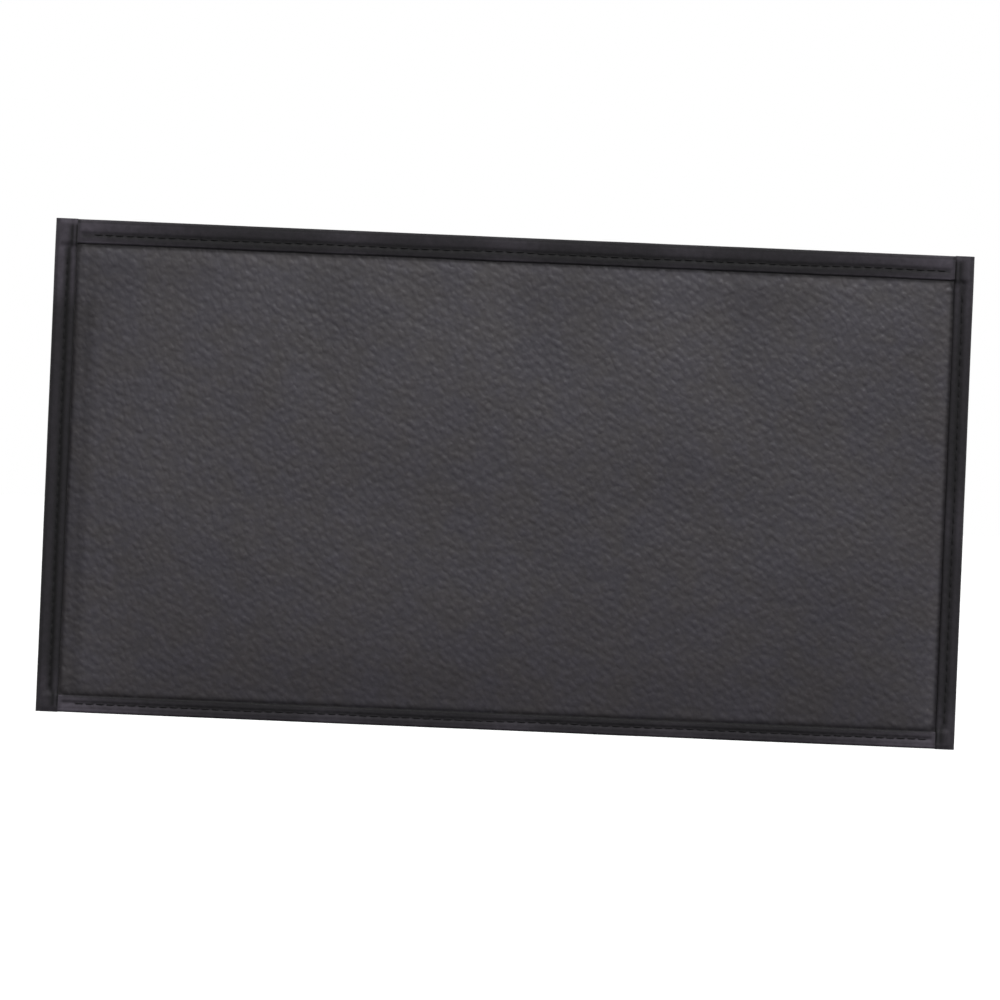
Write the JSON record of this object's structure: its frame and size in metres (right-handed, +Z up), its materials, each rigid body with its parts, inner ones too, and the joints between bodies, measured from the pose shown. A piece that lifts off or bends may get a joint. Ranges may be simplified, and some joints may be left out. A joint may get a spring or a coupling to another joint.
{
  "type": "wall punch pad",
  "caption": "Rectangular foam striking pad in a sewn textured cover with bound edges, hung flat on a wall by a hidden hook-on rail.",
  "frame": {"origin": "on the wall plane, at the middle of the wall rail's row of screw holes", "axes": "+X along the pad's width, +Z up, and -Y out from the wall towards the user, so the wall is the plane y = 0"},
  "size_m": [0.41, 0.0663, 0.22],
  "materials": {
    "textured_cover": "matte",
    "gusset_cover": "matte",
    "binding_tape": "matte",
    "dust_cloth": "matte",
    "soft_foam": "matte",
    "closed_cell_foam": "matte",
    "bonded_foam": "matte",
    "plywood": "satin",
    "rail_aluminium": "satin",
    "plated_steel": "satin",
    "staple_steel": "satin",
    "bumper_rubber": "matte"
  },
  "bodies": {
    "wall_bracket": {"wall_rail": "rail_aluminium"},
    "pad": {"front_panel": "textured_cover", "binding_top": "binding_tape", "binding_bottom": "binding_tape", "binding_left": "binding_tape", "binding_right": "binding_tape", "gusset_top": "gusset_cover", "gusset_bottom": "gusset_cover", "gusset_left": "gusset_cover", "gusset_right": "gusset_cover", "foam_face_layer": "soft_foam", "foam_mid_layer": "closed_cell_foam", "foam_base_layer": "bonded_foam", "backing_board": "plywood", "dust_cover": "dust_cloth", "cover_staples": "staple_steel", "dust_cover_staples": "staple_steel", "pad_rail": "rail_aluminium", "pad_rail_screws": "plated_steel", "bumper_left": "bumper_rubber", "bumper_right": "bumper_rubber", "bumper_screws": "plated_steel"}
  },
  "joints": [
    {"name": "lift_off", "type": "slide", "parent": "wall_bracket", "child": "pad", "axis": [0, 0, 1], "range_m": [0, 0.016]}
  ]
}
